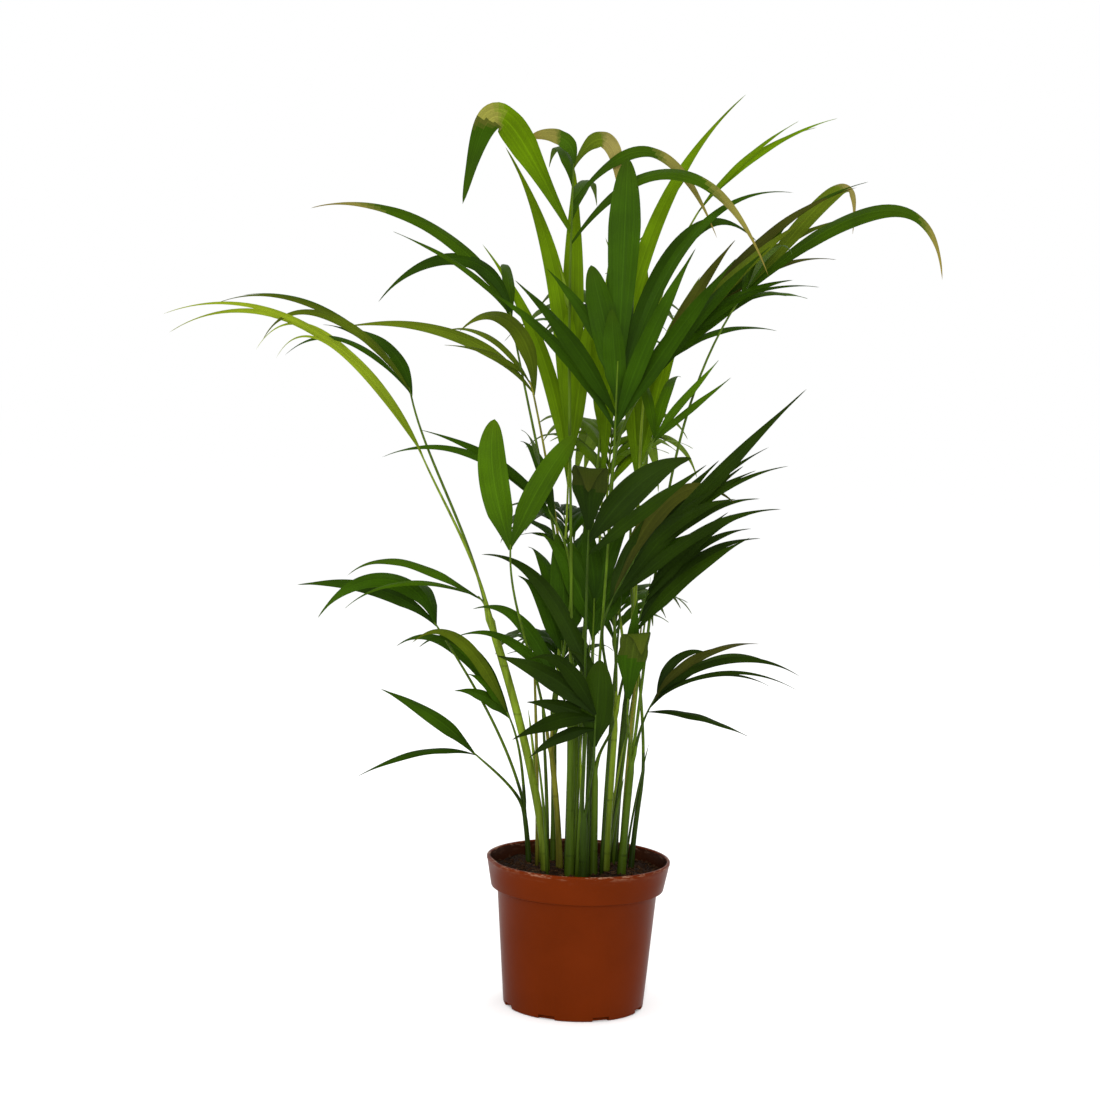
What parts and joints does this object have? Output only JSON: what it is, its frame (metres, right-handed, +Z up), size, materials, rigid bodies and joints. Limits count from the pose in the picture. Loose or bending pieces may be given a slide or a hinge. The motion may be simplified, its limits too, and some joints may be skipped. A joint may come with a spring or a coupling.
{
  "type": "potted areca palm",
  "caption": "Clump of slim upright canes in a round tapered nursery pot, with a crown of long arching fronds whose ribbon leaflets spread to all sides.",
  "frame": {"origin": "centre of the pot's flat underside", "axes": "+Z up through the pot and the clump, +Y towards the plant's back as the picture sees it, +X to its right"},
  "size_m": [0.6782, 0.5059, 0.8449],
  "materials": {
    "pot": "satin terracotta-brown moulded plastic",
    "soil": "rough, dark, moist potting mix",
    "stem": "smooth satin yellow-green cane",
    "frond": "satin green leaf"
  },
  "bodies": {
    "root": {"pot": "pot", "soil": "soil", "cane_bright": "stem", "cane_left": "stem", "cane_slim": "stem", "cane_split": "stem", "cane_front": "stem", "cane_near": "stem", "cane_tall": "stem", "cane_stout": "stem", "cane_back": "stem", "cane_middle": "stem", "cane_right": "stem", "cane_far": "stem", "cane_dark": "stem", "cane_edge": "stem", "frond_tall": "frond", "frond_fan": "frond", "frond_right": "frond", "frond_right_dark": "frond", "frond_back_left": "frond", "frond_back_right": "frond", "frond_back_tall": "frond", "frond_back_thin": "frond", "frond_arch_left": "frond", "frond_upper_left": "frond", "frond_far_left": "frond", "frond_far_bright": "frond", "frond_mid_left": "frond", "frond_front_vee": "frond", "frond_low_left": "frond", "frond_left": "frond", "frond_left_ribbon": "frond", "frond_left_low": "frond", "frond_inner_left": "frond", "frond_inner_low": "frond", "frond_front_low": "frond", "frond_right_low": "frond", "frond_right_fan": "frond", "frond_centre_fan": "frond", "frond_middle": "frond", "frond_deep_right": "frond", "frond_slim_right": "frond", "frond_centre_left": "frond", "frond_folded_low": "frond", "frond_rear_top": "frond", "frond_rear_high": "frond", "frond_rear_wide": "frond", "frond_rear_right": "frond", "frond_rear_left": "frond"}
  },
  "joints": []
}
